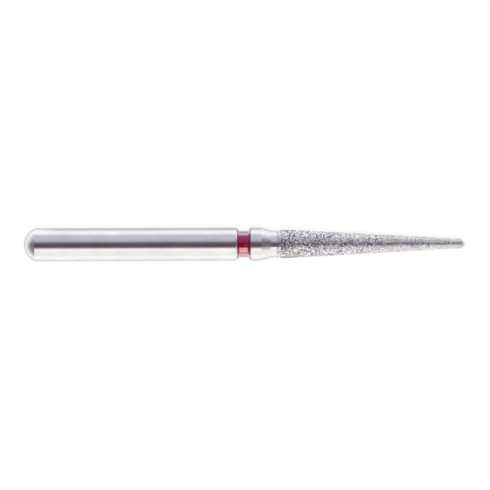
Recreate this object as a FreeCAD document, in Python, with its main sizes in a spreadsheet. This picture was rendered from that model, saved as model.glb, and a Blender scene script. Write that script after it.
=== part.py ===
import FreeCAD, Part
import math
import os

import Sketcher

# A friction-grip diamond bur with a tapered, round-ended head, in millimetres.
# The bur lies along X with its head towards +X and is round about the X axis.
# The origin is on the axis, where the straight wall of the shank that a chuck
# grips begins. The round rear end of the shank lies behind it, at negative X.
#
# Three pieces make the bur: the turned steel blank, the lacquer ring that sits in
# the blank's groove, and the plated layer of diamond grit that covers the head.

SIZES = (
    ("shank_diameter", 1.60),
    ("dome_length", 0.60),
    ("dome_blend_radius", 0.20),
    ("grip_length", 9.76),
    ("groove_width", 0.70),
    ("groove_depth", 0.20),
    ("groove_wall_run", 0.12),
    ("groove_lip_radius", 0.10),
    ("collar_length", 0.52),
    ("collar_rear_radius", 0.02),
    ("collar_front_radius", 0.10),
    ("shoulder_length", 0.49),
    ("neck_length", 0.47),
    ("neck_blend_radius", 0.30),
    ("head_length", 8.96),
    ("head_diameter", 1.43),
    ("tip_radius", 0.24),
    ("coating_thickness", 0.065),
    ("coating_edge_radius", 0.03),
    ("lead_length", 0.21),
    ("lead_thickness", 0.015),
    ("lacquer_thickness", 0.045),
    ("lacquer_wall_film", 0.025),
    ("lacquer_rear_setback", 0.09),
    ("lacquer_front_setback", 0.025),
    ("meniscus_radius", 0.05),
)

# Places along the axis, each worked out from the driving sizes.
GROOVE_REAR = "sizes.grip_length"
GROOVE_FRONT = GROOVE_REAR + " + sizes.groove_width"
FLOOR_REAR = GROOVE_REAR + " + sizes.groove_wall_run"
FLOOR_FRONT = GROOVE_FRONT + " - sizes.groove_wall_run"
COLLAR_FRONT = GROOVE_FRONT + " + sizes.collar_length"
NECK_REAR = COLLAR_FRONT + " + sizes.shoulder_length"
HEAD_REAR = NECK_REAR + " + sizes.neck_length"
LEAD_REAR = HEAD_REAR + " - sizes.lead_length"
TIP_CENTRE = HEAD_REAR + " + sizes.head_length - sizes.tip_radius"
HEAD_TIP = HEAD_REAR + " + sizes.head_length"
CORE_TIP = HEAD_TIP + " - sizes.coating_thickness"

# Radii, each worked out from the driving sizes.
SHANK_RADIUS = "sizes.shank_diameter / 2"
GROOVE_RADIUS = SHANK_RADIUS + " - sizes.groove_depth"
HEAD_RADIUS = "sizes.head_diameter / 2"
NECK_RADIUS = HEAD_RADIUS + " - sizes.coating_thickness"
LEAD_RADIUS = NECK_RADIUS + " + sizes.lead_thickness"
CORE_TIP_RADIUS = "sizes.tip_radius - sizes.coating_thickness"

# How far the groove's walls run along the axis for each millimetre of their depth.
WALL_SLOPE = "sizes.groove_wall_run / sizes.groove_depth"

# The film on those walls ends square to them, so its outer edge lies further out by the rise.
# The run is the film's thickness along the axis, where it lies parallel to a wall.
FILM_RISE = WALL_SLOPE + " * sizes.lacquer_wall_film"
FILM_RUN = "sizes.lacquer_wall_film + " + WALL_SLOPE + " * " + FILM_RISE

# The numbers by which a sketch knows its own two axes and the three points of an edge.
ALONG_INDEX = -1
UPRIGHT_INDEX = -2
START_INDEX = 1
END_INDEX = 2
CENTRE_INDEX = 3

FULL_TURN = 360.0

# How closely an edge has to lie to its place on the outline to be the one that is rounded.
MATCH = 1e-4


def make_sheet(doc):
    """One row for each driving size: its name, then its value, which has the name as alias."""
    sheet = doc.addObject("Spreadsheet::Sheet", "sizes")
    for row, (name, value) in enumerate(SIZES, start=1):
        sheet.set("A%d" % row, name)
        sheet.set("B%d" % row, str(value))
        sheet.setAlias("B%d" % row, name)
    doc.recompute()
    return sheet


def make_body(doc, label):
    body = doc.addObject("PartDesign::Body", label)
    body.Label = label
    body.Placement = FreeCAD.Placement()
    return body


def axial_sketch(body, name):
    """A sketch in the plane through the bur's axis, with that axis as its horizontal one."""
    sketch = body.newObject("Sketcher::SketchObject", name)
    plane = [feature for feature in body.Origin.OriginFeatures if feature.Role == "XZ_Plane"][0]
    sketch.AttachmentSupport = (plane, [""])
    sketch.MapMode = "FlatFace"
    return sketch


def value_of(sketch, formula):
    """The number that a formula of the driving sizes gives."""
    return float(sketch.evalExpression(formula))


def point_at(sketch, along, out):
    return FreeCAD.Vector(value_of(sketch, along), value_of(sketch, out), 0)


def add_edge(sketch, start, end):
    return sketch.addGeometry(Part.LineSegment(start, end), False)


def add_arc(sketch, centre, start, end):
    """A counter-clockwise arc about the centre, from the direction of start to that of end."""
    circle = Part.Circle(centre, FreeCAD.Vector(0, 0, 1), (start - centre).Length)
    arc = Part.ArcOfCircle(circle, circle.parameter(start), circle.parameter(end))
    return sketch.addGeometry(arc, False)


def bind(sketch, constraint, formula):
    """Adds a dimension and ties its value to a formula of the driving sizes."""
    index = sketch.addConstraint(constraint)
    sketch.setExpression("Constraints[%d]" % index, formula)


def place(sketch, edge, point, along, out):
    """Ties a point to its two formulas. A formula of 0 puts the point on the sketch's own axis."""
    if along == "0":
        hold_on(sketch, edge, point, UPRIGHT_INDEX)
    else:
        place_along(sketch, edge, point, along)
    if out == "0":
        hold_on(sketch, edge, point, ALONG_INDEX)
    else:
        value = value_of(sketch, out)
        bind(sketch, Sketcher.Constraint("DistanceY", ALONG_INDEX, START_INDEX, edge, point, value), out)


def place_along(sketch, edge, point, along):
    value = value_of(sketch, along)
    bind(sketch, Sketcher.Constraint("DistanceX", ALONG_INDEX, START_INDEX, edge, point, value), along)


def set_radius(sketch, arc, formula):
    bind(sketch, Sketcher.Constraint("Radius", arc, value_of(sketch, formula)), formula)


def join(sketch, first, first_point, second, second_point):
    sketch.addConstraint(Sketcher.Constraint("Coincident", first, first_point, second, second_point))


def join_smoothly(sketch, first, first_point, second, second_point):
    sketch.addConstraint(Sketcher.Constraint("Tangent", first, first_point, second, second_point))


def hold_on(sketch, edge, point, axis):
    sketch.addConstraint(Sketcher.Constraint("PointOnObject", edge, point, axis))


def round_corner(sketch, before, after, corner, radius):
    """Rounds the corner between two edges that are drawn up to it, and keeps the corner placed.

    The corner is its place as two formulas. The radius is a formula too.
    """
    place_point = point_at(sketch, *corner)
    size = value_of(sketch, radius)
    back = (sketch.getPoint(before, START_INDEX) - place_point).normalize()
    ahead = (sketch.getPoint(after, END_INDEX) - place_point).normalize()
    half_angle = back.getAngle(ahead) / 2
    cut_back = size / math.tan(half_angle)
    centre = place_point + (back + ahead).normalize() * (size / math.sin(half_angle))
    arc_rear = place_point + back * cut_back
    arc_front = place_point + ahead * cut_back
    sketch.moveGeometry(before, END_INDEX, arc_rear)
    sketch.moveGeometry(after, START_INDEX, arc_front)
    turns_left = back.cross(ahead).z < 0
    if turns_left:
        arc = add_arc(sketch, centre, arc_rear, arc_front)
        join_smoothly(sketch, before, END_INDEX, arc, START_INDEX)
        join_smoothly(sketch, arc, END_INDEX, after, START_INDEX)
    else:
        arc = add_arc(sketch, centre, arc_front, arc_rear)
        join_smoothly(sketch, before, END_INDEX, arc, END_INDEX)
        join_smoothly(sketch, arc, START_INDEX, after, START_INDEX)
    set_radius(sketch, arc, radius)
    mark = sketch.addGeometry(Part.Point(place_point), True)
    place(sketch, mark, START_INDEX, *corner)
    hold_on(sketch, mark, START_INDEX, before)
    hold_on(sketch, mark, START_INDEX, after)


def add_chain(sketch, corners, closed=False):
    """Straight edges through corners, each of them two formulas and, where it is rounded, a radius.

    Returns the edges in order.
    """
    points = [point_at(sketch, *corner[:2]) for corner in corners]
    if closed:
        points.append(points[0])
    edges = [add_edge(sketch, start, end) for start, end in zip(points, points[1:])]
    if not closed:
        place(sketch, edges[0], START_INDEX, *corners[0])
        place(sketch, edges[-1], END_INDEX, *corners[-1])
    turns = list(zip(edges, edges[1:], corners[1:]))
    if closed:
        turns.append((edges[-1], edges[0], corners[0]))
    for before, after, corner in turns:
        if len(corner) == 3:
            round_corner(sketch, before, after, corner[:2], corner[2])
        else:
            join(sketch, before, END_INDEX, after, START_INDEX)
            place(sketch, after, START_INDEX, *corner)
    return edges


def add_tapered_tip(sketch, last_edge, tip_radius, tip):
    """A tapering edge from the end of the last one, running smoothly into a round tip on the axis.

    Returns the tip's arc, which is drawn from the axis back to the taper.
    """
    centre = point_at(sketch, TIP_CENTRE, "0")
    crown = centre + FreeCAD.Vector(0, value_of(sketch, tip_radius), 0)
    taper = add_edge(sketch, sketch.getPoint(last_edge, END_INDEX), crown)
    arc = add_arc(sketch, centre, point_at(sketch, tip, "0"), crown)
    join(sketch, last_edge, END_INDEX, taper, START_INDEX)
    join_smoothly(sketch, taper, END_INDEX, arc, END_INDEX)
    hold_on(sketch, arc, CENTRE_INDEX, ALONG_INDEX)
    place(sketch, arc, START_INDEX, tip, "0")
    set_radius(sketch, arc, tip_radius)
    return arc


def turn(body, name, sketch):
    """Turns a sketch once round the bur's axis into a solid."""
    feature = body.newObject("PartDesign::Revolution", name)
    feature.Profile = sketch
    feature.ReferenceAxis = (sketch, ["H_Axis"])
    feature.Angle = FULL_TURN
    return feature


def round_edge(body, name, along, out, radius):
    """Rounds the circular edge of the body's last feature that lies at one place on the outline."""
    body.Document.recompute()
    base = body.Tip
    station = value_of(base, along)
    size = value_of(base, out)
    found = []
    for index, edge in enumerate(base.Shape.Edges, start=1):
        if edge.Degenerated or not isinstance(edge.Curve, Part.Circle):
            continue
        if abs(edge.Curve.Center.x - station) < MATCH and abs(edge.Curve.Radius - size) < MATCH:
            found.append("Edge%d" % index)
    fillet = body.newObject("PartDesign::Fillet", name)
    fillet.Base = (base, found)
    fillet.setExpression("Radius", radius)


def add_domed_end(sketch, wall):
    """The shank's rear end: part of a ball, with a small arc that rounds it into the straight wall.

    Returns the ball's arc, which ends on the axis.
    """
    wall_rear = sketch.getPoint(wall, START_INDEX)
    length = value_of(sketch, "sizes.dome_length")
    blend_radius = value_of(sketch, "sizes.dome_blend_radius")
    blend_centre = wall_rear - FreeCAD.Vector(0, blend_radius, 0)
    # The radius of the ball that reaches the rear end and touches the small arc from inside.
    ball_radius = (length ** 2 - blend_radius ** 2 + blend_centre.y ** 2) / (2 * (length - blend_radius))
    rear_end = FreeCAD.Vector(-length, 0, 0)
    ball_centre = rear_end + FreeCAD.Vector(ball_radius, 0, 0)
    outwards = (blend_centre - ball_centre).normalize()
    blend_rear = ball_centre + outwards * ball_radius
    blend = add_arc(sketch, blend_centre, wall_rear, blend_rear)
    dome = add_arc(sketch, ball_centre, blend_rear, rear_end)
    join_smoothly(sketch, wall, START_INDEX, blend, START_INDEX)
    join_smoothly(sketch, blend, END_INDEX, dome, START_INDEX)
    set_radius(sketch, blend, "sizes.dome_blend_radius")
    hold_on(sketch, dome, CENTRE_INDEX, ALONG_INDEX)
    hold_on(sketch, dome, END_INDEX, ALONG_INDEX)
    to_origin = Sketcher.Constraint("DistanceX", dome, END_INDEX, ALONG_INDEX, START_INDEX, length)
    bind(sketch, to_origin, "sizes.dome_length")
    return dome


def make_blank(doc):
    """The steel blank, turned in one piece: shank, ring groove, collar, shoulder, neck and core."""
    body = make_body(doc, "steel_blank")
    sketch = axial_sketch(body, "blank_outline")
    edges = add_chain(sketch, (
        ("0", SHANK_RADIUS),
        (GROOVE_REAR, SHANK_RADIUS, "sizes.groove_lip_radius"),
        (FLOOR_REAR, GROOVE_RADIUS),
        (FLOOR_FRONT, GROOVE_RADIUS),
        (GROOVE_FRONT, SHANK_RADIUS, "sizes.collar_rear_radius"),
        (COLLAR_FRONT, SHANK_RADIUS, "sizes.collar_front_radius"),
        (NECK_REAR, NECK_RADIUS, "sizes.neck_blend_radius"),
        (HEAD_REAR, NECK_RADIUS),
    ))
    dome = add_domed_end(sketch, edges[0])
    tip = add_tapered_tip(sketch, edges[-1], CORE_TIP_RADIUS, CORE_TIP)
    axis = add_edge(sketch, sketch.getPoint(tip, START_INDEX), sketch.getPoint(dome, END_INDEX))
    join(sketch, tip, START_INDEX, axis, START_INDEX)
    join(sketch, axis, END_INDEX, dome, END_INDEX)
    turn(body, "turned_blank", sketch)
    return body


def make_ring(doc):
    """The lacquer ring: it lines the groove's floor and climbs both of its sloping walls.

    It stops short of the rounded lip behind it, and runs nearly to the collar's edge in front.
    """
    body = make_body(doc, "colour_ring")
    sketch = axial_sketch(body, "ring_outline")
    surface = GROOVE_RADIUS + " + sizes.lacquer_thickness"
    surface_run = WALL_SLOPE + " * (sizes.groove_depth - sizes.lacquer_thickness)"
    surface_rear = GROOVE_REAR + " + " + surface_run + " + " + FILM_RUN
    surface_front = GROOVE_FRONT + " - " + surface_run + " - (" + FILM_RUN + ")"
    rear_top = GROOVE_REAR + " + " + WALL_SLOPE + " * sizes.lacquer_rear_setback"
    front_top = GROOVE_FRONT + " - " + WALL_SLOPE + " * sizes.lacquer_front_setback"
    rear_top_radius = SHANK_RADIUS + " - sizes.lacquer_rear_setback"
    front_top_radius = SHANK_RADIUS + " - sizes.lacquer_front_setback"
    add_chain(sketch, (
        (rear_top, rear_top_radius),
        (rear_top + " + sizes.lacquer_wall_film", rear_top_radius + " + " + FILM_RISE),
        (surface_rear, surface, "sizes.meniscus_radius"),
        (surface_front, surface, "sizes.meniscus_radius"),
        (front_top + " - sizes.lacquer_wall_film", front_top_radius + " + " + FILM_RISE),
        (front_top, front_top_radius),
        (FLOOR_FRONT, GROOVE_RADIUS),
        (FLOOR_REAR, GROOVE_RADIUS),
    ), closed=True)
    turn(body, "lacquer_film", sketch)
    return body


def make_coating(doc):
    """The diamond layer: a tapered sleeve with a round tip over the head's core.

    Behind the full layer, a thin lead of plating reaches a little way along the neck.
    """
    body = make_body(doc, "diamond_coating")
    sketch = axial_sketch(body, "coating_outline")
    outside = add_chain(sketch, (
        (LEAD_REAR, NECK_RADIUS),
        (LEAD_REAR, LEAD_RADIUS),
        (HEAD_REAR, LEAD_RADIUS),
        (HEAD_REAR, HEAD_RADIUS),
    ))
    outer_tip = add_tapered_tip(sketch, outside[-1], "sizes.tip_radius", HEAD_TIP)
    seat_front = point_at(sketch, HEAD_REAR, NECK_RADIUS)
    seat = add_edge(sketch, sketch.getPoint(outside[0], START_INDEX), seat_front)
    join(sketch, outside[0], START_INDEX, seat, START_INDEX)
    place(sketch, seat, END_INDEX, HEAD_REAR, NECK_RADIUS)
    inner_tip = add_tapered_tip(sketch, seat, CORE_TIP_RADIUS, CORE_TIP)
    axis = add_edge(sketch, sketch.getPoint(outer_tip, START_INDEX), sketch.getPoint(inner_tip, START_INDEX))
    join(sketch, outer_tip, START_INDEX, axis, START_INDEX)
    join(sketch, axis, END_INDEX, inner_tip, START_INDEX)
    turn(body, "plated_layer", sketch)
    round_edge(body, "coating_edge", HEAD_REAR, HEAD_RADIUS, "sizes.coating_edge_radius")
    return body


def check(doc, bodies):
    """Stops before anything is written if a feature failed or a piece isn't one valid solid."""
    for thing in doc.Objects:
        if "Invalid" in thing.State or "Error" in thing.State:
            raise RuntimeError("%s failed: %s" % (thing.Name, thing.State))
    for body in bodies:
        shape = body.Shape
        if shape.isNull() or not shape.isValid() or len(shape.Solids) != 1:
            raise RuntimeError("%s is not one valid solid" % body.Label)


def main():
    doc = FreeCAD.newDocument("dental_bur")
    make_sheet(doc)
    bodies = [make_blank(doc), make_ring(doc), make_coating(doc)]
    doc.recompute()
    check(doc, bodies)
    os.makedirs("parts", exist_ok=True)
    for body in bodies:
        body.Shape.exportStep("parts/%s.step" % body.Label)


main()
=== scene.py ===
import math
import random

import bmesh
import bpy
import numpy as np
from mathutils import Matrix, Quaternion, Vector, kdtree


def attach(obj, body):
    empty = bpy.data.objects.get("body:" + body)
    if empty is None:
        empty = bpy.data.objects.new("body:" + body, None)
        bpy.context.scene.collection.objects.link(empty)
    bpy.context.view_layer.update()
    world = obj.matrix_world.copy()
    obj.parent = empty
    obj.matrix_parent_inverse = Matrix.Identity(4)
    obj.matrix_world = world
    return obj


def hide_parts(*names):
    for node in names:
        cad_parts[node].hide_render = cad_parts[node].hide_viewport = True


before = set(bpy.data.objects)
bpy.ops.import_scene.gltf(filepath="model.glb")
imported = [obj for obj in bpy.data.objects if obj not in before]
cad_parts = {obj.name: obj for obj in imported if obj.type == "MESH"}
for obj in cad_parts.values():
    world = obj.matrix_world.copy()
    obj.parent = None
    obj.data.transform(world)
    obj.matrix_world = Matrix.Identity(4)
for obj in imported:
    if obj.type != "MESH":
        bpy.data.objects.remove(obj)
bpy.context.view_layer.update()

# Lengths below are in millimetres, in the frame of the CAD part: the bur lies along X,
# its head towards +X, and the straight wall of the shank begins at the origin.
MM = 0.001

# The turned steel blank
SHANK_RADIUS = 0.80
DOME_LENGTH = 0.60
DOME_BLEND = 0.20
GROOVE_REAR = 9.76
GROOVE_FRONT = 10.46
GROOVE_RADIUS = 0.60
WALL_RUN = 0.12
GROOVE_LIP = 0.10
COLLAR_REAR_EDGE = 0.02
COLLAR_FRONT = 10.98
COLLAR_EDGE = 0.10
NECK_REAR = 11.47
NECK_RADIUS = 0.65
NECK_BLEND = 0.30

# The tapered head and its layer of plating and grit
HEAD_REAR = 11.94
HEAD_RADIUS = 0.715
HEAD_TIP = 20.90
TIP_RADIUS = 0.24
COATING = 0.065
COATING_EDGE = 0.03
LEAD_REAR = 11.73
LEAD_RADIUS = 0.665

# The lacquer film in the groove
LACQUER_RADIUS = 0.645
LACQUER_FILM = 0.025
LACQUER_EDGE = 0.008
LACQUER_REAR_SETBACK = 0.09
LACQUER_FRONT_SETBACK = 0.025
MENISCUS = 0.05

# Divisions round the axis
SIDES = 288
PLATING_SIDES = 190

# The head's grains, with the ranges of their sizes and of their tops over the layer's face
SEED = 20260
GRAIN_SHAPES = 72
GRAIN_SPACING = 0.055
GRAIN_TRIES = 120000
GRAIN_SIZE = (0.060, 0.086)
REAR_TOP = (-0.019, 0.004)
TIP_TOP = (-0.006, 0.012)

# How the layer changes along the head, each as (at its rear, at its tip): the grains' scale,
# what their upper halves keep of their height, their darkest tone, the power that favours dark
# ones, and how far the plating lies under the layer's face
GRAIN_SCALE = (1.3, 0.8)
UPPER_KEPT = (0.28, 0.36)
DARKEST_TONE = (0.0, 0.30)
TONE_POWER = (1.5, 1.0)
PLATING_SINK = (0.028, 0.017)

# What the grains' lower halves keep of their height, and how the plating climbs round each
LOWER_KEPT = 0.6
CLIMB = 0.009
CLIMB_REACH = 0.034

# The scattered grains on the lead of plating behind the head
LEAD_SINK = 0.006
LEAD_GRAIN_SPACING = 0.066
LEAD_GRAIN_TRIES = 900
LEAD_GRAIN_SIZE = (0.040, 0.065)
LEAD_GRAIN_TOP = (0.008, 0.020)
LEAD_GRAIN_KEPT = 0.6
LEAD_GRAIN_REACH = 0.08
LEAD_GRAIN_POWER = 1.2


# Outlines, as points (along, out)


def arc_points(centre, radius, start, end, steps):
    """Points on an arc from one angle to another, in radians, both ends included."""
    angles = [start + (end - start) * k / steps for k in range(steps + 1)]
    return [(centre[0] + radius * math.cos(a), centre[1] + radius * math.sin(a)) for a in angles]


def rounded(corners, steps=10):
    """An outline through corners, each (along, out) or (along, out, radius of its rounding)."""
    points = []
    for index, corner in enumerate(corners):
        here = Vector(corner[:2])
        if len(corner) == 2:
            points.append(tuple(here))
            continue
        back = (Vector(corners[index - 1][:2]) - here).normalized()
        ahead = (Vector(corners[index + 1][:2]) - here).normalized()
        half = back.angle(ahead) / 2
        centre = here + (back + ahead).normalized() * (corner[2] / math.sin(half))
        cut = corner[2] / math.tan(half)
        first = here + back * cut - centre
        last = here + ahead * cut - centre
        turn = first.angle_signed(last)
        start = math.atan2(first.y, first.x)
        points += arc_points(centre, corner[2], start, start - turn, steps)
    return points


def straight(a, b, step):
    """Points from a to b about a step apart, both ends included."""
    count = max(1, round(math.dist(a, b) / step))
    return [
        (a[0] + (b[0] - a[0]) * k / count, a[1] + (b[1] - a[1]) * k / count)
        for k in range(count + 1)
    ]


def dome_outline():
    """The shank's rear end from the axis forward: part of a ball, then a small blending arc."""
    blend_centre = (0.0, SHANK_RADIUS - DOME_BLEND)
    square = DOME_LENGTH**2 - DOME_BLEND**2 + blend_centre[1] ** 2
    ball = square / (2 * (DOME_LENGTH - DOME_BLEND))
    ball_centre = (ball - DOME_LENGTH, 0.0)
    meet = math.atan2(blend_centre[1] - ball_centre[1], blend_centre[0] - ball_centre[0])
    dome = arc_points(ball_centre, ball, math.pi, meet, steps=30)
    blend = arc_points(blend_centre, DOME_BLEND, meet, math.pi / 2, steps=12)
    return dome + blend[1:]


def tip_outline(rear, rear_radius, tip, tip_radius, steps):
    """The ball at the tip, from where a taper that starts at the rear point touches it."""
    centre = tip - tip_radius
    reach = math.hypot(centre - rear, rear_radius)
    lean = math.atan2(rear_radius, centre - rear)
    touch = lean + math.acos(tip_radius / reach) - math.pi
    return arc_points((centre, 0.0), tip_radius, -touch, 0.0, steps)


def blank_outline():
    """The steel from its rear end to the tip of the core under the coating."""
    body = rounded(
        (
            (0.0, SHANK_RADIUS),
            (GROOVE_REAR, SHANK_RADIUS, GROOVE_LIP),
            (GROOVE_REAR + WALL_RUN, GROOVE_RADIUS),
            (GROOVE_FRONT - WALL_RUN, GROOVE_RADIUS),
            (GROOVE_FRONT, SHANK_RADIUS, COLLAR_REAR_EDGE),
            (COLLAR_FRONT, SHANK_RADIUS, COLLAR_EDGE),
            (NECK_REAR, NECK_RADIUS, NECK_BLEND),
            (HEAD_REAR, NECK_RADIUS),
        )
    )
    core_tip = tip_outline(HEAD_REAR, NECK_RADIUS, HEAD_TIP - COATING, TIP_RADIUS - COATING, steps=12)
    return dome_outline() + body[1:] + core_tip


def lacquer_outline():
    """The film's section, closed: its face from the rear wall to the front wall, then its seat."""
    slope = WALL_RUN / (SHANK_RADIUS - GROOVE_RADIUS)
    rise = slope * LACQUER_FILM
    run = LACQUER_FILM + slope * rise
    down = slope * (SHANK_RADIUS - LACQUER_RADIUS)
    rear = (GROOVE_REAR + slope * LACQUER_REAR_SETBACK, SHANK_RADIUS - LACQUER_REAR_SETBACK)
    front = (GROOVE_FRONT - slope * LACQUER_FRONT_SETBACK, SHANK_RADIUS - LACQUER_FRONT_SETBACK)
    return rounded(
        (
            rear,
            (rear[0] + LACQUER_FILM, rear[1] + rise, LACQUER_EDGE),
            (GROOVE_REAR + down + run, LACQUER_RADIUS, MENISCUS),
            (GROOVE_FRONT - down - run, LACQUER_RADIUS, MENISCUS),
            (front[0] - LACQUER_FILM, front[1] + rise, LACQUER_EDGE),
            front,
            (GROOVE_FRONT - WALL_RUN, GROOVE_RADIUS),
            (GROOVE_REAR + WALL_RUN, GROOVE_RADIUS),
        ),
        steps=12,
    )


def coating_outline():
    """The diamond layer's face from the step at its rear to the tip, finely divided."""
    tip = tip_outline(HEAD_REAR, HEAD_RADIUS, HEAD_TIP, TIP_RADIUS, steps=18)
    rear = rounded(((HEAD_REAR, LEAD_RADIUS), (HEAD_REAR, HEAD_RADIUS, COATING_EDGE), tip[0]), steps=4)
    return rear[:-1] + straight(rear[-2], tip[0], step=0.0235)[1:] + tip[1:]


# Meshes


def add_piece(name, verts, faces, material, smooth=True, sharp=None):
    """A mesh piece in the row frame, from points in millimetres."""
    mesh = bpy.data.meshes.new(name)
    mesh.from_pydata((np.asarray(verts, float) * MM).tolist(), [], faces)
    mesh.validate()
    obj = bpy.data.objects.new(name, mesh)
    bpy.context.scene.collection.objects.link(obj)
    mesh.polygons.foreach_set("use_smooth", [smooth] * len(mesh.polygons))
    if sharp is not None:
        mesh.set_sharp_from_angle(angle=math.radians(sharp))
    mesh.materials.append(material)
    mesh.update()
    return obj


def lathe(outline, sides, closed=False):
    """Turns an outline of (along, out) round X. An end on the axis becomes one point."""
    verts, rings, faces = [], [], []
    turn = [2 * math.pi * k / sides for k in range(sides)]
    on_axis = 1e-9
    for along, out in outline:
        if out < on_axis:
            rings.append([len(verts)] * sides)
            verts.append((along, 0.0, 0.0))
        else:
            rings.append(list(range(len(verts), len(verts) + sides)))
            verts += [(along, out * math.cos(a), out * math.sin(a)) for a in turn]
    pairs = list(zip(rings, rings[1:]))
    if closed:
        pairs.append((rings[-1], rings[0]))
    for rear, front in pairs:
        for k in range(sides):
            n = (k + 1) % sides
            corners = [rear[k], rear[n], front[n], front[k]]
            face = [c for i, c in enumerate(corners) if c != corners[i - 1]]
            if len(face) > 2:
                faces.append(face[::-1])
    return verts, faces


# Nodes. A value is a number, a colour or another node's output.


def feed(tree, socket, value):
    """Gives a socket its value."""
    if isinstance(value, bpy.types.NodeSocket):
        tree.links.new(value, socket)
    else:
        socket.default_value = value


def add_node(tree, kind, **settings):
    """A node with its properties, and with its inputs fed where a setting names one."""
    node = tree.nodes.new(kind)
    for name, value in settings.items():
        if hasattr(node, name):
            setattr(node, name, value)
        else:
            feed(tree, node.inputs[name.replace("_", " ")], value)
    return node


def maths(tree, operation, *values, **settings):
    """The result of a Math node on the values."""
    node = add_node(tree, "ShaderNodeMath", operation=operation, **settings)
    for socket, value in zip(node.inputs, values):
        feed(tree, socket, value)
    return node.outputs["Value"]


def mapped(tree, value, given, wanted=(0.0, 1.0)):
    """The value, carried from one range over to another and held inside it."""
    ranges = dict(From_Min=given[0], From_Max=given[1], To_Min=wanted[0], To_Max=wanted[1])
    return add_node(tree, "ShaderNodeMapRange", Value=value, **ranges).outputs["Result"]


def ramp(tree, value, stops):
    """The colour that the stops, each (place, colour), have at the value."""
    node = add_node(tree, "ShaderNodeValToRGB", Fac=value)
    elements = node.color_ramp.elements
    while len(elements) > 1:
        elements.remove(elements[-1])
    elements[0].position = stops[0][0]
    elements[0].color = (*stops[0][1], 1.0)
    for position, colour in stops[1:]:
        elements.new(position).color = (*colour, 1.0)
    return node.outputs["Color"]


def level_ramp(tree, value, stops):
    """A ramp of plain numbers, each stop (place, number)."""
    return ramp(tree, value, [(place, (number,) * 3) for place, number in stops])


def blended(tree, share, first, second, **settings):
    """The first colour where the share is 0 and the second where it is 1."""
    node = add_node(tree, "ShaderNodeMixRGB", Fac=share, Color1=first, Color2=second, **settings)
    return node.outputs["Color"]


def parts_of(tree, vector):
    """A vector's X, Y and Z outputs, by name."""
    return add_node(tree, "ShaderNodeSeparateXYZ", Vector=vector).outputs


def noise(tree, along, round_about, detail, roughness):
    """Noise fixed to the piece, with its scales along the axis and round it, per metre."""
    where = add_node(tree, "ShaderNodeTexCoord")
    mapping = add_node(tree, "ShaderNodeMapping", Scale=(along, round_about, round_about))
    tree.links.new(where.outputs["Object"], mapping.inputs["Vector"])
    texture = add_node(tree, "ShaderNodeTexNoise", Scale=1.0, Detail=detail, Roughness=roughness)
    tree.links.new(mapping.outputs["Vector"], texture.inputs["Vector"])
    return texture.outputs["Fac"]


def slant_round_axis(tree):
    """0 where the surface is seen square on, 1 at its sides; a lean along the axis is left out."""
    view = add_node(tree, "ShaderNodeLayerWeight", Blend=0.5)
    where = add_node(tree, "ShaderNodeTexCoord")
    along = parts_of(tree, where.outputs["Normal"])["X"]
    radial = maths(tree, "SQRT", maths(tree, "SUBTRACT", 1.0, maths(tree, "MULTIPLY", along, along)))
    square_on = maths(tree, "SUBTRACT", 1.0, view.outputs["Facing"])
    share = maths(tree, "DIVIDE", square_on, radial)
    return maths(tree, "SUBTRACT", 1.0, share, use_clamp=True)


# Materials

# The part of its range that a noise mostly fills
NOISE_SPREAD = (0.3, 0.7)


def new_material(name):
    """A material with its node tree and its shader."""
    material = bpy.data.materials.new(name)
    material.use_nodes = True
    tree = material.node_tree
    return material, tree, tree.nodes["Principled BSDF"]


def set_bump(tree, shader, height, strength, distance):
    """Bump of the given depth, in metres."""
    bump = add_node(tree, "ShaderNodeBump", Strength=strength, Distance=distance, Height=height)
    tree.links.new(bump.outputs["Normal"], shader.inputs["Normal"])


def steel_material():
    """Ground steel: fine marks round the shank, and a faint cloudiness in its sheen."""
    material, tree, shader = new_material("ground_steel")
    marks = noise(tree, along=42000.0, round_about=900.0, detail=5.0, roughness=0.65)
    clouds = noise(tree, along=900.0, round_about=1400.0, detail=3.0, roughness=0.55)
    colour = ramp(tree, clouds, ((0.25, (0.81, 0.805, 0.825)), (0.75, (0.92, 0.915, 0.93))))
    feed(tree, shader.inputs["Base Color"], colour)
    feed(tree, shader.inputs["Roughness"], mapped(tree, marks, NOISE_SPREAD, (0.16, 0.22)))
    set_bump(tree, shader, marks, strength=0.35, distance=1.2e-6)
    shader.inputs["Metallic"].default_value = 1.0
    # Darker where it is seen almost edge on, which draws a thin line at its sides.
    shader.inputs["Specular Tint"].default_value = (0.52, 0.52, 0.53, 1.0)
    return material


def lacquer_material():
    """Crimson lacquer over bright steel: a deep body under a clear coat that is pale at the sides."""
    material, tree, shader = new_material("red_lacquer")
    depth = noise(tree, along=5200.0, round_about=3200.0, detail=4.0, roughness=0.6)
    colour = ramp(tree, depth, ((0.3, (0.095, 0.0001, 0.002)), (0.7, (0.160, 0.0005, 0.007))))
    feed(tree, shader.inputs["Base Color"], colour)
    gloss = level_ramp(tree, slant_round_axis(tree), ((0.12, 0.037), (0.22, 0.16), (0.32, 1.0)))
    feed(tree, shader.inputs["Coat Weight"], gloss)
    feed(tree, shader.inputs["Roughness"], mapped(tree, depth, NOISE_SPREAD, (0.10, 0.18)))
    set_bump(tree, shader, depth, strength=0.25, distance=4e-6)
    shader.inputs["IOR"].default_value = 2.8
    shader.inputs["Specular Tint"].default_value = (1.0, 0.22, 0.59, 1.0)
    shader.inputs["Coat IOR"].default_value = 4.0
    shader.inputs["Coat Roughness"].default_value = 0.05
    return material


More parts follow.
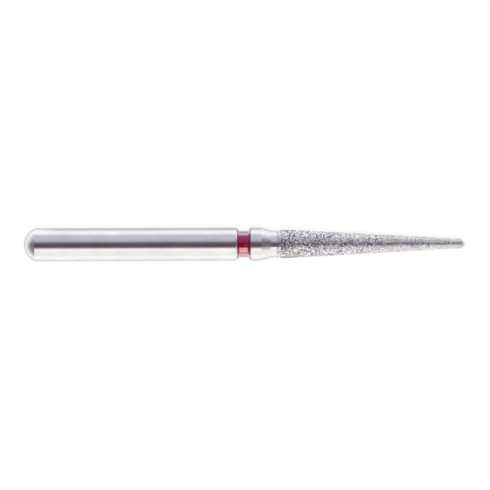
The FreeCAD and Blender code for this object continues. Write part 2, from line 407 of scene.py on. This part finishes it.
def nickel_material():
    """The plating between the grains: dull, finely nodular nickel."""
    material, tree, shader = new_material("nickel_plating")
    nodules = noise(tree, along=26000.0, round_about=26000.0, detail=5.0, roughness=0.6)
    colour = ramp(tree, nodules, ((0.3, (0.62, 0.61, 0.63)), (0.7, (0.84, 0.83, 0.85))))
    feed(tree, shader.inputs["Base Color"], colour)
    feed(tree, shader.inputs["Roughness"], mapped(tree, nodules, NOISE_SPREAD, (0.20, 0.30)))
    set_bump(tree, shader, nodules, strength=0.5, distance=4e-6)
    shader.inputs["Metallic"].default_value = 1.0
    return material


def grain_material():
    """Diamond grains: grey, each lighter or darker than the next, the paler ones with more gloss."""
    material, tree, shader = new_material("diamond_grains")
    tone = add_node(tree, "ShaderNodeAttribute", attribute_name="tone").outputs["Fac"]
    cloud = noise(tree, along=22000.0, round_about=22000.0, detail=3.0, roughness=0.6)
    cloud_share = 0.2
    mixed = maths(tree, "MULTIPLY_ADD", cloud, cloud_share, tone)
    greys = ((0.22, (0.29, 0.26, 0.295)), (0.48, (0.76, 0.75, 0.77)), (0.8, (1.0, 0.99, 1.0)))
    feed(tree, shader.inputs["Base Color"], ramp(tree, mixed, greys))
    feed(tree, shader.inputs["Roughness"], mapped(tree, mixed, (0.2, 1.0), (0.24, 0.12)))
    shader.inputs["Metallic"].default_value = 0.96
    return material


# The diamond layer


def forward(along):
    """How far along the head a place lies: 0 at its rear, 1 at its tip."""
    return min(1.0, max(0.0, (along - HEAD_REAR) / (HEAD_TIP - HEAD_REAR)))


def between(pair, share):
    """The value that lies the given share of the way from the first of a pair to the second."""
    return pair[0] + (pair[1] - pair[0]) * share


def along_outline(outline, length):
    """The point at a length along an outline, and the outward normal there."""
    left = length
    for a, b in zip(outline, outline[1:]):
        span = math.dist(a, b)
        if left <= span and span > 0:
            t = left / span
            normal = (-(b[1] - a[1]) / span, (b[0] - a[0]) / span)
            return (a[0] + (b[0] - a[0]) * t, a[1] + (b[1] - a[1]) * t), normal
        left -= span
    return outline[-1], (1.0, 0.0)


def neighbours(cells, cell):
    """The places found so far in a cell of the scatter's grid and in the cells round it."""
    steps = (-1, 0, 1)
    near = (
        cells.get((cell[0] + i, cell[1] + j, cell[2] + k), ())
        for i in steps
        for j in steps
        for k in steps
    )
    return (place for group in near for place in group)


def scatter(outline, spacing, rng, tries, thin=None):
    """Seeded points on the turned outline, none closer than the spacing.

    thin, where given, is the share of them that is kept at a place along the bur.
    Returns pairs of place and outward normal.
    """
    areas = []
    total = 0.0
    lengths = [0.0]
    for a, b in zip(outline, outline[1:]):
        span = math.dist(a, b)
        lengths.append(lengths[-1] + span)
        total += span * (a[1] + b[1]) / 2
        areas.append(total)
    areas = np.array(areas)
    cells = {}
    found = []
    for _ in range(tries):
        index = int(np.searchsorted(areas, rng.random() * total))
        length = lengths[index] + rng.random() * (lengths[index + 1] - lengths[index])
        (along, out), normal = along_outline(outline, length)
        if thin is not None and rng.random() > thin(along):
            continue
        angle = rng.random() * 2 * math.pi
        c, s = math.cos(angle), math.sin(angle)
        place = (along, out * c, out * s)
        cell = tuple(int(math.floor(v / spacing)) for v in place)
        if any(math.dist(place, other) < spacing for other in neighbours(cells, cell)):
            continue
        cells.setdefault(cell, []).append(place)
        found.append((Vector(place), Vector((normal[0], normal[1] * c, normal[1] * s))))
    return found


def head_places(outline, rng):
    """The head's grains: place, normal, size, height of the top over the layer's face, and
    how much of its height the grain's upper half keeps."""
    rows = []
    for place, normal in scatter(outline, GRAIN_SPACING, rng, GRAIN_TRIES):
        share = forward(place.x)
        size = rng.uniform(*GRAIN_SIZE) * between(GRAIN_SCALE, share)
        top = (1 - share) * rng.uniform(*REAR_TOP) + share * rng.uniform(*TIP_TOP)
        rows.append((place, normal, size, top, between(UPPER_KEPT, share)))
    return rows


def lead_places(rng):
    """The grains on the lead, in the same rows. They grow fewer away from the head."""
    margin = 0.02
    face = straight((LEAD_REAR - margin, LEAD_RADIUS), (HEAD_REAR - margin / 2, LEAD_RADIUS), step=0.02)

    def thin(along):
        share = (along - LEAD_REAR + LEAD_GRAIN_REACH) / (HEAD_REAR - LEAD_REAR + LEAD_GRAIN_REACH)
        return max(0.0, min(1.0, share)) ** LEAD_GRAIN_POWER

    return [
        (place, normal, rng.uniform(*LEAD_GRAIN_SIZE), rng.uniform(*LEAD_GRAIN_TOP), LEAD_GRAIN_KEPT)
        for place, normal in scatter(face, LEAD_GRAIN_SPACING, rng, LEAD_GRAIN_TRIES, thin)
    ]


def cuboctahedron():
    """Its twelve corners, 1 from the centre."""
    corners = (
        (1, 1, 0), (1, -1, 0), (-1, 1, 0), (-1, -1, 0),
        (1, 0, 1), (1, 0, -1), (-1, 0, 1), (-1, 0, -1),
        (0, 1, 1), (0, 1, -1), (0, -1, 1), (0, -1, -1),
    )
    return [Vector(corner) / math.sqrt(2) for corner in corners]


def grain_shapes(count, rng):
    """Blocky crystals about 1 across: the hulls of unevenly pushed cuboctahedra, 20 facets each."""
    push = 0.2
    stretches = ((0.8, 1.15), (0.8, 1.15), (0.75, 1.1))
    corners = cuboctahedron()
    shapes = []
    for _ in range(count):
        stretch = Vector([rng.uniform(*limits) for limits in stretches])
        mesh = bmesh.new()
        for corner in corners:
            pushed = corner + Vector([rng.uniform(-push, push) for _ in range(3)])
            mesh.verts.new([p * s * 0.5 for p, s in zip(pushed, stretch)])
        bmesh.ops.convex_hull(mesh, input=mesh.verts)
        loose = [v for v in mesh.verts if not v.link_faces]
        bmesh.ops.delete(mesh, geom=loose, context="VERTS")
        bmesh.ops.triangulate(mesh, faces=mesh.faces)
        mesh.verts.index_update()
        verts = np.array([v.co for v in mesh.verts])
        faces = np.array([[v.index for v in f.verts] for f in mesh.faces])
        shapes.append((verts, faces))
        mesh.free()
    return shapes


def set_grains(places, material, rng):
    """The grains as one piece: each turned at random, flattened on top and sunk to its height."""
    shapes = grain_shapes(GRAIN_SHAPES, rng)
    verts, faces, tones = [], [], []
    count = 0
    for place, normal, size, top, kept in places:
        shape, hull = shapes[rng.randrange(len(shapes))]
        axis = Vector([rng.gauss(0, 1) for _ in range(3)]).normalized()
        turn = np.array(Quaternion(axis, rng.random() * 2 * math.pi).to_matrix())
        body = shape @ turn.T * size
        lean = np.array(normal)
        height = body @ lean
        body -= np.outer(height * np.where(height > 0, 1 - kept, 1 - LOWER_KEPT), lean)
        reach = float((body @ lean).max())
        verts.append(body + np.array(place + normal * (top - reach)))
        faces.append(hull + count)
        share = forward(place.x)
        darkest = between(DARKEST_TONE, share)
        tone = darkest + (1 - darkest) * rng.random() ** between(TONE_POWER, share)
        tones.append(np.full(len(body), tone))
        count += len(body)
    faces = np.concatenate(faces).tolist()
    piece = add_piece("diamond_grains", np.concatenate(verts), faces, material, smooth=False)
    attribute = piece.data.attributes.new("tone", "FLOAT", "POINT")
    attribute.data.foreach_set("value", np.concatenate(tones).astype(np.float32))
    return piece


def set_plating(outline, places, material):
    """The plating on the lead and the head, sunk under the layer's face and drawn up at each grain."""
    grains = kdtree.KDTree(len(places))
    for index, (place, *_) in enumerate(places):
        grains.insert(place, index)
    grains.balance()
    hair = 0.0005
    tuck = 0.004
    face = straight((LEAD_REAR, NECK_RADIUS - tuck), (LEAD_REAR, LEAD_RADIUS), step=0.01)
    face += straight((LEAD_REAR, LEAD_RADIUS), (HEAD_REAR, LEAD_RADIUS), step=0.025)[1:]
    verts, faces = lathe(face + outline, PLATING_SIDES)
    verts = np.array(verts)
    for vert in verts:
        along, y, z = vert
        if along < LEAD_REAR + 2 * hair:
            continue
        centre = min(along, HEAD_TIP - TIP_RADIUS)
        away = Vector((along - centre, y, z)).normalized()
        on_head = along > HEAD_REAR + hair or math.hypot(y, z) > LEAD_RADIUS + hair
        sink = between(PLATING_SINK, forward(along)) if on_head else LEAD_SINK
        distance = grains.find(vert)[2]
        climb = CLIMB * math.exp(-((distance / CLIMB_REACH) ** 2))
        vert += np.array(away) * (climb - sink)
    return add_piece("nickel_plating", verts, faces, material)


def make_diamond_layer(nickel, grain):
    """The plating, which stands for the coating's node, and the grains in it."""
    rng = random.Random(SEED)
    outline = coating_outline()
    places = head_places(outline, rng)
    places += lead_places(rng)
    grit = set_grains(places, grain, rng)
    return set_plating(outline, places, nickel), grit


# Floor, light and camera


def floor_shade(tree, ray):
    """White, but for a painted shadow, a soft dark strip along the shank's far side seen only in
    mirrors.

    It draws the thin grey line at the photo's upper edge of the shank.
    """
    wide, long = 6.0, 12.0
    across_stops = ((0.8, 1.0), (1.3, 0.75), (1.8, 0.1), (3.0, 0.0), (3.8, 0.5), (4.8, 1.0))
    along_stops = ((0.1, 0.0), (0.7, 1.0), (10.8, 1.0), (11.6, 0.0))
    where = add_node(tree, "ShaderNodeTexCoord")
    place = parts_of(tree, where.outputs["Object"])
    across = mapped(tree, place["Y"], (0.0, wide * MM))
    along = mapped(tree, place["X"], (0.0, long * MM))
    # Painted shadow: a darker strip across the floor beside the shank, for glossy rays only.
    painted_shadow = level_ramp(tree, across, [(y / wide, level) for y, level in across_stops])
    beside = level_ramp(tree, along, [(x / long, level) for x, level in along_stops])
    mirrored = maths(tree, "MULTIPLY", ray["Is Glossy Ray"], beside)
    return blended(tree, mirrored, (1.0, 1.0, 1.0, 1.0), painted_shadow)


def make_floor():
    """A plain white table under the bur, which keeps a faint contact shadow.

    It glows by the given share for each kind of ray, so that it shows as white. It ends just
    behind the shank, because the dome mirrors the darker rear of the studio there.
    """
    half = 400.0
    rear = -4.8
    level = -SHANK_RADIUS
    glow = {"Is Camera Ray": 0.85, "Is Transmission Ray": 0.85, "Is Glossy Ray": 0.3}
    material = bpy.data.materials.new("floor")
    material.use_nodes = True
    tree = material.node_tree
    tree.nodes.clear()
    ray = add_node(tree, "ShaderNodeLightPath").outputs
    matt = add_node(tree, "ShaderNodeBsdfDiffuse", Color=(0.93, 0.93, 0.93, 1.0))
    # The glow's colour holds the painted shadow strip that only mirrors see.
    white = add_node(tree, "ShaderNodeEmission", Color=floor_shade(tree, ray), Strength=1.0)
    share = 0.0
    for kind, part in glow.items():
        share = maths(tree, "MULTIPLY_ADD", ray[kind], part, share)
    mix = add_node(tree, "ShaderNodeMixShader", Fac=share)
    tree.links.new(matt.outputs["BSDF"], mix.inputs[1])
    tree.links.new(white.outputs["Emission"], mix.inputs[2])
    add_node(tree, "ShaderNodeOutputMaterial", Surface=mix.outputs["Shader"])
    corners = [(rear, -half, level), (half, -half, level), (half, half, level), (rear, half, level)]
    floor = add_piece("floor", corners, [(0, 1, 2, 3)], material, smooth=False)


# The studio's colours beside the bur, behind its shank and ahead of its tip, by the angle round
# its axis in degrees: 0 is straight up, 90 is level on the far side of the photograph, which is
# its upper side, and -90 is level on the near side.
STUDIO_MIDDLE = (
    (-96, (1.0, 1.0, 1.0)),
    (-88, (0.98, 0.98, 0.98)),
    (-70, (0.97, 0.96, 0.945)),
    (-52, (1.0, 0.985, 0.94)),
    (-39, (1.16, 1.09, 1.01)),
    (-30.5, (1.08, 0.98, 0.93)),
    (-22.5, (0.13, 0.10, 0.12)),
    (-6, (0.088, 0.068, 0.092)),
    (8, (0.12, 0.095, 0.125)),
    (15, (0.22, 0.20, 0.235)),
    (24, (0.50, 0.495, 0.555)),
    (42, (0.585, 0.58, 0.645)),
    (69.5, (0.60, 0.60, 0.655)),
    (77.5, (0.98, 0.98, 1.0)),
    (96, (1.0, 1.0, 1.0)),
)
STUDIO_REAR = (
    (-96, (0.66, 0.66, 0.68)),
    (-75, (0.36, 0.36, 0.39)),
    (-60, (0.26, 0.26, 0.29)),
    (-38, (0.24, 0.23, 0.25)),
    (-18, (0.185, 0.18, 0.195)),
    (0, (0.165, 0.16, 0.18)),
    (15, (0.19, 0.185, 0.21)),
    (30, (0.32, 0.32, 0.36)),
    (40, (0.41, 0.41, 0.46)),
    (57, (0.56, 0.56, 0.61)),
    (72, (0.64, 0.64, 0.69)),
    (90, (0.80, 0.80, 0.84)),
)
STUDIO_FRONT = (
    (-96, (1.0, 1.0, 1.0)),
    (-70, (0.96, 0.95, 0.93)),
    (-57, (0.88, 0.87, 0.85)),
    (-45, (0.64, 0.62, 0.60)),
    (-34, (0.38, 0.36, 0.36)),
    (-22, (0.22, 0.20, 0.21)),
    (0, (0.17, 0.15, 0.17)),
    (25, (0.17, 0.16, 0.185)),
    (36, (0.25, 0.25, 0.28)),
    (46, (0.37, 0.37, 0.41)),
    (57, (0.66, 0.66, 0.71)),
    (70, (0.95, 0.95, 0.98)),
    (96, (1.0, 1.0, 1.0)),
)


def paint_world():
    """The studio round the bur, by direction: a warm softbox on the near side, lilac grey on the
    far side, a dark strip overhead and a darker rear. The camera sees plain white."""
    world = bpy.data.worlds.new("studio")
    world.use_nodes = True
    bpy.context.scene.world = world
    tree = world.node_tree
    tree.nodes.clear()
    where = add_node(tree, "ShaderNodeTexCoord")
    ray = parts_of(tree, where.outputs["Generated"])
    angle = maths(tree, "ARCTAN2", ray["Y"], ray["Z"])
    turn = mapped(tree, angle, (-math.pi, math.pi))
    middle, rear, front = (
        ramp(tree, turn, [((degrees + 180.0) / 360.0, colour) for degrees, colour in stops])
        for stops in (STUDIO_MIDDLE, STUDIO_REAR, STUDIO_FRONT)
    )
    # Towards the horizon the rear is at least a pale grey.
    pale_grey = (0.50, 0.50, 0.54, 1.0)
    low = mapped(tree, ray["Z"], (0.30, -0.02))
    rear = blended(tree, low, rear, pale_grey, blend_type="LIGHTEN")
    backward = mapped(tree, ray["X"], (-0.35, -0.55))
    ahead = mapped(tree, ray["X"], (0.35, 0.6))
    colour = blended(tree, ahead, blended(tree, backward, middle, rear), front)
    light = add_node(tree, "ShaderNodeBackground", Color=colour)
    white = add_node(tree, "ShaderNodeBackground", Color=(1.0, 1.0, 1.0, 1.0), Strength=1.0)
    path = add_node(tree, "ShaderNodeLightPath")
    mix = add_node(tree, "ShaderNodeMixShader", Fac=path.outputs["Is Camera Ray"])
    tree.links.new(light.outputs["Background"], mix.inputs[1])
    tree.links.new(white.outputs["Background"], mix.inputs[2])
    add_node(tree, "ShaderNodeOutputWorld", Surface=mix.outputs["Shader"])


def add_lamp(name, place, size, power, colour=(1.0, 1.0, 1.0)):
    """A soft lamp, (along X, across) in size, that looks at the ring. The camera never sees it."""
    ring_middle = Vector((10.1, 0.0, 0.0))
    lamp = bpy.data.lights.new(name, "AREA")
    lamp.shape = "RECTANGLE"
    lamp.size, lamp.size_y = size[0] * MM, size[1] * MM
    lamp.energy = power
    lamp.color = colour
    obj = bpy.data.objects.new(name, lamp)
    bpy.context.scene.collection.objects.link(obj)
    obj.location = Vector(place) * MM
    obj.rotation_mode = "QUATERNION"
    obj.rotation_quaternion = (ring_middle - Vector(place)).to_track_quat("-Z", "Y")
    obj.visible_camera = False
    return obj


def add_overhead():
    """The lamp that casts the contact shadow. Mirrors don't see it."""
    overhead = add_lamp("overhead", place=(10.1, -42.0, 340.0), size=(90.0, 90.0), power=0.95)
    overhead.visible_glossy = False


def add_ring_softbox(ring):
    """A lamp for the ring's gleam alone. It is greenish, because the crimson takes green away."""
    softbox = add_lamp(
        "ring_softbox",
        place=(10.1, -49.0, 34.6),
        size=(30.0, 46.0),
        power=0.0192,
        colour=(0.40, 1.0, 0.38),
    )
    lit_by_softbox = bpy.data.collections.new("lit_by_softbox")
    lit_by_softbox.objects.link(ring)
    softbox.visible_diffuse = False
    softbox.light_linking.receiver_collection = lit_by_softbox


def add_camera():
    """Straight above the bur, turned a little so that its head lies slightly higher in view."""
    sensor = 36.0
    lens = 200.0
    view_width = 23.89
    view_centre = (10.177, -0.0415)
    roll = -0.2
    camera = bpy.data.cameras.new("camera")
    camera.sensor_width = sensor
    camera.lens = lens
    camera.clip_start = 0.005
    camera.clip_end = 5.0
    obj = bpy.data.objects.new("camera", camera)
    bpy.context.scene.collection.objects.link(obj)
    obj.location = Vector((*view_centre, view_width / sensor * lens)) * MM
    obj.rotation_euler = (0.0, 0.0, math.radians(roll))
    bpy.context.scene.camera = obj


# The pieces

blank = add_piece("turned_blank", *lathe(blank_outline(), SIDES), steel_material(), sharp=28)
ring = add_piece(
    "lacquer_ring", *lathe(lacquer_outline(), SIDES, closed=True), lacquer_material(), sharp=50
)
plating, grit = make_diamond_layer(nickel_material(), grain_material())

for piece, slot in (
    (blank, "ground_steel"),
    (ring, "red_lacquer"),
    (plating, "diamond_grit"),
    (grit, "diamond_grit"),
):
    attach(piece, "root")
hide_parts("steel_blank")
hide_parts("colour_ring")
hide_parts("diamond_coating")

make_floor()
paint_world()
add_overhead()
add_ring_softbox(ring)
add_camera()

bpy.context.scene.view_settings.view_transform = "Standard"
